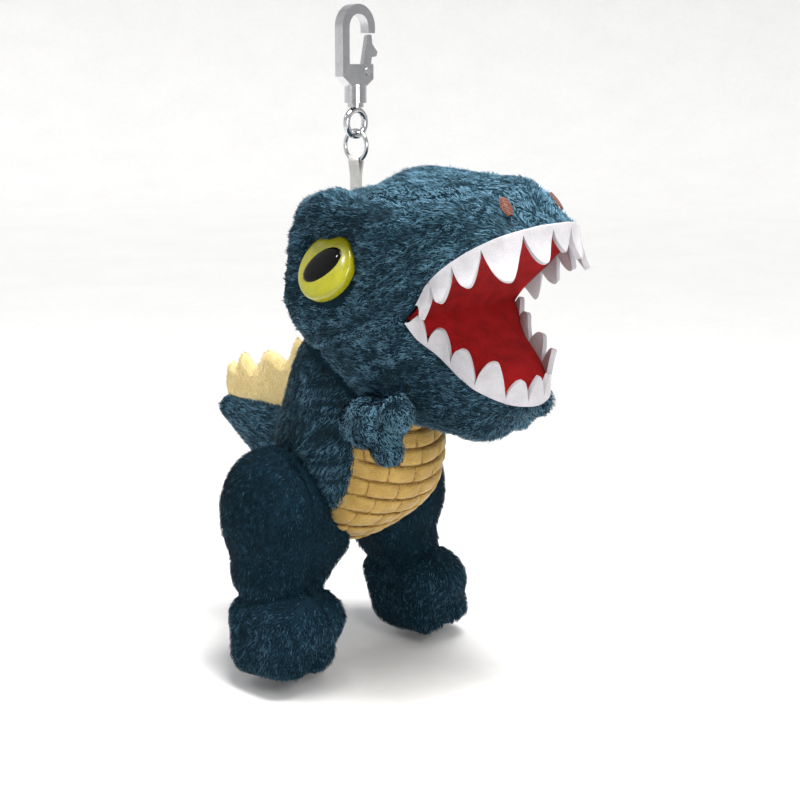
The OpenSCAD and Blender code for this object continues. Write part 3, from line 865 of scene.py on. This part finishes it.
# The legs wear the shaded pile and are painted darker still down to the ankles, then a little
# lighter on the feet: painted shade and painted light
limb("leg", leg_cloth, LEG_SEAM, (-20, -126), (28, -62), leg_comb, 7.5,
     shades=SHADED_LEG_PILE, bright=lambda p: -0.35 + 0.5 * np.clip((-98 - p[:, 2]) / 8, 0, 1))
# The arms' pile is painted much lighter: painted light on the raised arms and paws
limb("arm", arm_cloth, ARM_SEAM, (-47, -70), (-6, -42), arm_comb, 9.0,
     bright=lambda p: 1.35)

# -------- mouth

MOUTH_Y = -45.0
MOUTH_BACK = CORNER_Y + 0.3


def lip(angle, height, inset):
    """The lip's edge on a sheet, seen from the mouth's middle at an angle from straight ahead."""
    a = np.radians(angle)
    way = np.stack([np.sin(a), -np.cos(a)], -1)
    low, high = np.full(len(a), 2.0), np.full(len(a), 40.0)
    for _ in range(26):
        r = (low + high) / 2
        x, y = way[:, 0] * r, MOUTH_Y + way[:, 1] * r
        inside = head_form(np.stack([x, y, height(y)], -1)) < -inset
        low, high = np.where(inside, r, low), np.where(inside, high, r)
    back = np.where(way[:, 1] > 0.01, (MOUTH_BACK - MOUTH_Y) / np.maximum(way[:, 1], 0.01), 99)
    r = np.minimum((low + high) / 2, back)
    return np.stack([way[:, 0] * r, MOUTH_Y + way[:, 1] * r], -1)


def lining(name, height, arch, body, blend=None, flip=False):
    """A velvet sheet from lip to lip, arched in the middle."""
    sectors, rings = 96, 26
    angle = np.arange(sectors) * 360 / sectors
    edge = lip(angle, height, 1.7)
    t = np.linspace(0, 1, rings + 1)[1:]
    xy = np.array([0, MOUTH_Y]) + t[:, None, None] * (edge - [0, MOUTH_Y])
    z = height(xy[..., 1]) + arch * (1 - t[:, None] ** 2)
    points = np.concatenate([[[0, MOUTH_Y, height(MOUTH_Y) + arch]],
                             np.concatenate([xy, z[..., None]], -1).reshape(-1, 3)])
    quads = 1 + grid(rings, sectors, closed=True)
    centre = np.stack([np.zeros(sectors, int), 1 + np.arange(sectors),
                       1 + (np.arange(sectors) + 1) % sectors], -1)[:, ::-1]
    if flip:
        quads, centre = quads[:, ::-1], centre[:, ::-1]
    mesh = new_mesh(name, points, [quads, centre])
    piece(name, mesh, [VELVET], body, [name], blend, 0.8)


lining("palate_lining", roof, 3.2, "plush", flip=True)
TONGUE_BLEND = ("jaw", "plush", tuple(metres([0, -38, -34])), tuple(metres([0, -32.2, -32])))
lining("tongue_lining", floor_of, 1.2, "jaw", TONGUE_BLEND)


def teeth(name, height, drop, talls, widths, body, lean, blunt, start):
    """A felt strip sewn in along the lip, cut into teeth; talls run from the front to a corner."""
    fine = 22             # points along each tooth
    peak = 0.68           # how far along a tooth its point lies
    hidden = 1.2          # depth of the strip that is sewn in
    talls, widths = np.array(talls[:0:-1] + talls), np.array(widths[:0:-1] + widths)
    count = len(talls)
    corner = math.degrees(math.atan2(19.5, MOUTH_Y - MOUTH_BACK))
    angles = np.linspace(-corner, corner, 600)
    path = lip(angles, height, 0.9)
    step = np.linalg.norm(np.diff(path, axis=0), axis=-1)
    run = np.concatenate([[0], np.cumsum(step)])
    tooth = np.arange(count * fine + 1) / fine
    share = np.concatenate([[0], np.cumsum(widths)]) / widths.sum()
    u = np.interp(tooth, np.arange(count + 1), share)
    along = start + u * (run[-1] - 2 * start)
    at = np.stack([np.interp(along, run, path[:, k]) for k in range(2)], -1)
    ahead = np.gradient(at, axis=0)
    ahead /= np.linalg.norm(ahead, axis=-1, keepdims=True)
    out = np.stack([ahead[:, 1], -ahead[:, 0]], -1)
    if (out[len(u) // 2] @ np.array([0, -1])) < 0:
        out = -out
    which = np.minimum(tooth.astype(int), count - 1)
    phase = tooth - which
    # Each tooth's point lies nearer the front of the mouth
    phase = np.where(u > 0.5, 1 - phase, phase)
    shape = np.clip(np.minimum(phase / peak, (1 - phase) / (1 - peak)), 0, 1)
    shape = np.sin(shape * math.pi / 2) ** blunt
    # The strip runs out to nothing at the mouth's corners
    slim = np.clip(np.minimum(tooth, count - tooth) / 0.55, 0.1, 1) ** 0.7
    length = (-0.2 + (talls[which] + 0.2) * shape) * slim
    rows = 9
    points = []
    for k in range(rows + 1):
        reach = -hidden * slim + (length + hidden * slim) * (k / rows)
        xy = at + out * (lean * reach * np.abs(reach) / 6)[:, None]
        z = height(at[:, 1]) + drop * reach
        points.append(np.stack([xy[:, 0], xy[:, 1], z], -1))
    points = np.array(points)
    wave = noise(points.reshape(-1, 3), 3.0, 17).reshape(points.shape[:2]) * 0.2
    points[..., :2] += wave[..., None] * out[None]
    mesh = new_mesh(name, points.reshape(-1, 3), grid(rows + 1, len(u)))
    obj = piece(name, mesh, [FELT], body, [name])
    thicken(obj, "felt", 1.2, 0)
    round_edges(obj, "cut_edge", 0.22, 2, 50)


teeth("upper_teeth", roof, -1, [5.4, 6.6, 8.4, 6.4, 6.0, 5.6], [1, 1.15, 1.4, 1.0, 0.85, 0.8],
      "plush", lean=0.22, blunt=0.85, start=3.4)
teeth("lower_teeth", floor_of, 1, [5.8, 4.6, 7.2, 6, 5.4, 4.2], [1, 1, 1.2, 1.05, 1, 0.9],
      "jaw", lean=0.14, blunt=0.72, start=0.6)

# -------- eyes and nostrils


def oval_axes(way, turn):
    """Two axes across way, turned by turn degrees from straight ahead, and way itself."""
    n = np.array(way, float) / np.linalg.norm(way)
    f = np.array([0, -1, 0.0]) - n * (n @ [0, -1, 0.0])
    f /= np.linalg.norm(f)
    g = np.cross(n, f)
    g = g * np.sign(g[2])
    c, s = math.cos(math.radians(turn)), math.sin(math.radians(turn))
    return f * c + g * s, g * c - f * s, n


def dome(name, at, way, long_r, short_r, turn, profile, plastic):
    """A turned cap, stretched to an oval and turned in its plane."""
    a, b, n = oval_axes(way, turn)
    sectors, rings = 72, len(profile) - 1
    theta = np.arange(sectors) * 2 * math.pi / sectors
    oval = np.outer(np.cos(theta) * long_r, a) + np.outer(np.sin(theta) * short_r, b)
    points = np.concatenate([at + oval * r + n * h for r, h in profile[:-1]]
                            + [[at + n * profile[-1][1]]])
    j = np.arange(sectors)
    last = (rings - 1) * sectors
    faces = [grid(rings, sectors, closed=True),
             np.stack([last + j, last + (j + 1) % sectors, np.full(sectors, rings * sectors)], -1),
             j[None, ::-1]]
    if np.dot(np.cross(a, b), n) < 0:
        faces = [f[:, ::-1] for f in faces]
    piece(name, new_mesh(name, points, faces), [plastic], "plush", [name])


def arc_profile(base, rim, top):
    """Radii and heights, from a low base out to a rounded rim and over a shallow dome."""
    rows = [(0.9, base), (0.975, base + 0.25), (1.0, base + 0.7), (0.995, rim - 0.3)]
    rows += [(0.97 * math.cos(t), rim + (top - rim) * math.sin(t))
             for t in np.linspace(0.12, math.pi / 2, 12)]
    rows[-1] = (0, top)
    return rows


for side, word in NAMES:
    at, way = EYE_AT * (side, 1, 1), EYE_DIR * (side, 1, 1)
    dome(f"eye_{word}", at, way, EYE_R, EYE_R, 0, arc_profile(-1.5, 0.9, 2.0), IRIS)
    dome(f"pupil_{word}", at, way, 5.8, 3.6, 38, arc_profile(1.0, 1.7, 2.35), PUPIL)


def nostril(side, word):
    """Satin stitches laid side by side over an oval."""
    at = np.array([side * 8.6, -52.4, -7.0])
    n = normals_of(head_cloth, at[None])[0]
    at = at - n * (head_cloth(at[None])[0] - 0.5)
    a, b, n = oval_axes(n, -36)
    threads, ring, steps, r = 12, 6, 9, 0.2
    points = []
    for k in range(threads):
        u = -1 + 2 * (k + 0.5) / threads
        half = (0.9 + 0.2 * (k % 2)) * math.sqrt(1 - u * u) + 0.15
        for v in np.linspace(-1, 1, steps):
            bulge = 0.45 * (1 - v * v) * (1 - u * u * 0.5)
            centre = at + a * (u * 2.3) + b * (v * half) + n * bulge
            for t in np.arange(ring) * 2 * math.pi / ring:
                points.append(centre + a * r * math.cos(t) + n * r * math.sin(t))
    starts = steps * ring * np.arange(threads)[:, None]
    sides = (starts[:, None] + grid(steps, ring, closed=True)).reshape(-1, 4)
    caps = np.concatenate([starts + np.arange(ring),
                           starts + steps * ring - 1 - np.arange(ring)])
    mesh = new_mesh(f"nostril_{word}", np.array(points), [sides, caps])
    piece(f"nostril_{word}", mesh, [THREAD], "plush", [f"nostril_{word}"])


for side, word in NAMES:
    nostril(side, word)

# -------- belly and ridge


def bricks(p):
    """The belly's stitching: from 0 in the stitches to 1 on a brick."""
    v = (p[:, 2] + 96 - 0.012 * p[:, 0] ** 2) / 4.3
    row = np.floor(v)
    u = p[:, 0] / 6.4 + 0.5 * (row % 2) + 0.13 * np.sin(row * 2.4)
    dv = np.abs(v - row - 0.5) * 2
    du = np.abs(u - np.floor(u) - 0.5) * 2
    return (1 - dv ** 5) * (0.32 + 0.68 * (1 - du ** 7))


def quilt(p):
    """Height of the belly's padding between its stitches."""
    wrinkle = 0.16 * noise(p, (1.6, 1.6, 2.4), 5) + 0.07 * noise(p, 0.7, 6)
    edge = np.clip(patch_edge(p) / 2.2, 0, 1)
    return (1.35 * bricks(p) + wrinkle) * (0.35 + 0.65 * np.sqrt(edge))


def belly_surface(p):
    return body_form(p) + 0.9 - quilt(p) + 1.4 * np.clip(-patch_edge(p) / 1.2, 0, 1)


belly = trim(surface(belly_surface, (-18, -28, -97), (18, 8, -50), 0.42),
             lambda p: np.minimum(patch_edge(p) + 1.3, head_form(p) + 4), belly_surface)
belly_mesh = new_mesh("belly_patch", *belly)
piece("belly_patch", belly_mesh, [GOLD_CLOTH, GOLD_STITCH], "plush",
      ["belly_patch"], None, 0.7)
middles = belly[0][belly[1]].mean(1)
belly_mesh.polygons.foreach_set("material_index", (bricks(middles) < 0.5).astype(np.int32))

ridge = trim(surface(ridge_form, (-3, 11, -74), (3, 51, -44), 0.42),
             lambda p: np.min([tail_form(p) + 3, body_form(p) + 3, head_form(p) + 2], axis=0),
             None)
piece("back_ridge", new_mesh("back_ridge", *ridge), [CREAM_CLOTH], "plush",
      ["back_ridge"], None, 0.0)
pile("back_ridge_pile", ridge, ridge_form, steady(0, 0.4, 0.9), "plush", 7.0, length=0.9,
     lift=0.5, shades=CREAM, slot="ridge_plush", seed=91,
     keep=all_of(tail_form, body_form, head_form))

# -------- wadding


def wadding(name, form, low, high, body, cell=1.8, gap=3.2):
    points, faces = surface(lambda p: form(p) + gap, low, high, cell)
    lumps = 0.35 * noise(points, 4.0, 8)
    points = points - normals_of(form, points) * np.abs(lumps)[:, None]
    piece(name, new_mesh(name, points, faces), [WADDING], body, [name])


def head_core(p):
    """The stuffed middle of the head, clear of the mouth, the jaw and the ribbon."""
    core = smooth_min(blob(p, (0, -8, -31), (19, 19, 17)), blob(p, (0, -6, -22), (12, 17, 15)), 4)
    return np.max([core, head_form(p), -jaw_gap(p)], axis=0)


def jaw_gap(p):
    """Distance outside the room of the jaw."""
    return np.maximum(p[:, 1] - (JAW_HINGE[1] + 3), p[:, 2] - (JAW_HINGE[2] + 5))


def jaw_core(p):
    return np.max([head_form(p), p[:, 2] - floor_of(p[:, 1]), p[:, 1] - JAW_HINGE[1] + 2], axis=0)


wadding("head_filling", head_core, (-20, -30, -50), (20, 14, -5), "plush", gap=3.4)
wadding("jaw_filling", jaw_core, (-24, -62, -62), (24, -20, -32), "jaw")
wadding("body_filling", lambda p: np.maximum(body_form(p), -head_form(p) - 2),
        (-22, -26, -98), (22, 26, -40), "plush")
wadding("tail_filling", lambda p: np.maximum(tail_form(p), -body_form(p) - 4),
        (-14, 8, -90), (14, 54, -56), "plush")
for side, word in NAMES:
    low, high = sorted((side * 9, side * 35))
    wadding(f"leg_{word}_filling", lambda p: np.maximum(leg_form(p), -body_form(p)),
            (low, -16, -126), (high, 28, -62), f"{word}_leg")
    low, high = sorted((side * 12, side * 32))
    wadding(f"arm_{word}_filling", lambda p: np.maximum(arm_form(p), -body_form(p)),
            (low, -46, -70), (high, -6, -44), f"{word}_arm", cell=1.2, gap=2.6)

# -------- ribbon


def ribbon_path():
    """The ribbon seen edge on: up from the crown, over the ring and down again."""
    fold_r = 0.9
    path = [(-0.27, -10), (-0.27, -6.5), (-0.28, -4.6), (-0.36, -3.2), (-0.6, -1.8), (-0.84, -0.7)]
    path += [(fold_r * math.cos(t), fold_r * math.sin(t)) for t in np.linspace(math.pi, 0, 17)]
    path += [(-x, z) for x, z in path[5::-1]]
    return np.array(path, float)


def ribbon(path):
    """A folded satin ribbon, sewn into the crown."""
    across = np.linspace(-RIBBON_HALF, RIBBON_HALF, 13)
    n, m = len(path), len(across)
    points = np.stack([np.repeat(path[:, 0], m), np.tile(across, n), np.repeat(path[:, 1], m)], -1)
    mesh = new_mesh("ribbon_loop", points, grid(n, m)[:, ::-1])
    obj = piece("ribbon_loop", mesh, [SATIN], "plush", ["ribbon_loop"])
    sub = obj.modifiers.new("smooth", "SUBSURF")
    sub.levels = sub.render_levels = 1
    thicken(obj, "satin", 0.28, 0)


def ribbon_edges(path):
    """The loops of thread along both edges of the ribbon."""
    run = np.concatenate([[0], np.cumsum(np.linalg.norm(np.diff(path, axis=0), axis=-1))])
    rows = np.arange(0.3, run[-1] - 0.3, 0.62)
    ring, tube = 8, 5
    y = np.array([0, 1, 0])
    points = []
    for s in rows:
        x, z = np.interp(s, run, path[:, 0]), np.interp(s, run, path[:, 1])
        x2, z2 = np.interp(s + 0.1, run, path[:, 0]), np.interp(s + 0.1, run, path[:, 1])
        t = np.array([x2 - x, 0, z2 - z])
        t /= np.linalg.norm(t)
        up = np.cross(t, y)
        for edge in (-1, 1):
            centre = np.array([x, edge * (RIBBON_HALF + 0.02), z])
            for a in np.arange(ring) * 2 * math.pi / ring:
                spoke = t * math.cos(a) + y * math.sin(a)
                for b in np.arange(tube) * 2 * math.pi / tube:
                    points.append(centre + spoke * (0.17 + 0.07 * math.cos(b))
                                  + up * 0.07 * math.sin(b))
    loop = grid(ring + 1, tube, closed=True)[:, [0, 3, 2, 1]] % (ring * tube)
    starts = np.arange(0, len(points), ring * tube)[:, None, None]
    mesh = new_mesh("ribbon_edge_loops", np.array(points), (starts + loop).reshape(-1, 4))
    piece("ribbon_edge_loops", mesh, [SATIN], "plush")


ribbon(ribbon_path())
ribbon_edges(ribbon_path())

# -------- hardware


def finish_node(name, metal, bevel=0.0):
    """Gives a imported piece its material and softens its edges."""
    obj = frame["nodes"][name]
    obj.data.materials.clear()
    obj.data.materials.append(metal)
    if bevel:
        round_edges(obj, "edge", bevel, 3, 35).harden_normals = True


for name in ("clasp_body", "clasp_lever"):
    finish_node(name, CHROME, 0.28)
finish_node("swivel_eye", CHROME, 0.08)
finish_node("jump_ring", CHROME)
finish_node("lever_pin", STEEL, 0.1)


def spring():
    """The lever's coil, which gives between the lever's heel and the clasp."""
    packed = frame["nodes"]["lever_spring"]
    coil = place("lever_coil", packed.data.copy())
    coil.matrix_world = packed.matrix_world.copy()
    coil.data.materials.clear()
    coil.data.materials.append(STEEL)
    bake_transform(coil)
    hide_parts("lever_spring")


spring()
for side, word in NAMES:
    finish_node(f"eye_washer_{word}", WASHER, 0.1)

# -------- studio


# The photograph's viewpoint
AZIMUTH, ELEVATION, DISTANCE = -47, 13, 350
LENS = 65.5
TARGET = metres([2.96, -11.41, -56.72])
MIDDLE = metres([0, -8, -60])


def towards(azimuth, elevation):
    a, e = math.radians(azimuth), math.radians(elevation)
    return np.array([math.sin(a) * math.cos(e), -math.cos(a) * math.cos(e), math.sin(e)])


def facing(way):
    """The rotation of a camera or lamp that looks along way."""
    return Vector(way).to_track_quat("-Z", "Y").to_euler()


def camera():
    lens = bpy.data.cameras.new("camera")
    lens.lens = LENS
    lens.sensor_width = 36
    lens.clip_start = 0.01
    back = towards(AZIMUTH, ELEVATION)
    obj = place("camera", lens)
    obj.location = TARGET + back * DISTANCE * MM
    obj.rotation_euler = facing(-back)
    bpy.context.scene.camera = obj


def key_light(azimuth, elevation, power):
    sun = bpy.data.lights.new("key", "SUN")
    sun.energy = power
    sun.angle = math.radians(24)
    sun.color = (1.0, 0.985, 0.96)
    place("key", sun).rotation_euler = facing(-towards(azimuth, elevation))


def lamp(name, at, size, power, colour=(1, 1, 1)):
    """A round lamp that points at the plush's middle."""
    data = bpy.data.lights.new(name, "AREA")
    data.shape = "DISK"
    data.size = size
    data.energy = power
    data.color = colour
    obj = place(name, data)
    obj.location = at
    obj.rotation_euler = facing(MIDDLE - at)
    obj.visible_camera = False


camera()
key_light(-8, 70, 1.8)
lamp("overhead", metres([-20, -60, 190]), 0.16, 1.1, (1.0, 0.99, 0.97))
lamp("front", metres([-75, -185, 25]), 0.1, 0.18, (1.0, 0.98, 0.95))
lamp("sparkle", MIDDLE + towards(-124, 43) * 0.6, 0.04, 0.25)
lamp("fill", MIDDLE + towards(-95, 15) * 0.7, 0.4, 0.15, (0.94, 0.97, 1.0))


def studio_floor():
    """A pale floor that curves up far behind in every direction."""
    base = CAD_BOX[0].z - 0.004
    profile = [(0, 0), (0.6, 0), (1.2, 0)] + [
        (1.2 + 0.6 * math.sin(t), 0.6 - 0.6 * math.cos(t)) for t in np.linspace(0.15, 1.57, 10)]
    profile.append((1.8, 2.0))
    sectors = 64
    points = [(0, 0, base)]
    for r, z in profile[1:]:
        for k in range(sectors):
            a = 2 * math.pi * k / sectors
            points.append((r * math.cos(a), r * math.sin(a), base + z))
    faces = [(0, 1 + k, 1 + (k + 1) % sectors) for k in range(sectors)]
    faces += (1 + grid(len(profile) - 1, sectors, closed=True)[:, [0, 3, 2, 1]]).tolist()
    mesh = bpy.data.meshes.new("floor")
    mesh.from_pydata(points, [], faces)
    for polygon in mesh.polygons:
        polygon.use_smooth = True
    obj = place("floor", mesh)
    mesh.materials.append(mottled("floor_paper", (0.86, 0.86, 0.86), (0.9, 0.9, 0.9), 6, bump=0.02,
                                  rough=0.9))


studio_floor()
world = bpy.data.worlds.new("studio")
bpy.context.scene.world = world
world.use_nodes = True
world.node_tree.nodes["Background"].inputs["Color"].default_value = (0.95, 0.97, 1.0, 1)
world.node_tree.nodes["Background"].inputs["Strength"].default_value = 0.42
bpy.context.scene.view_settings.view_transform = "Standard"
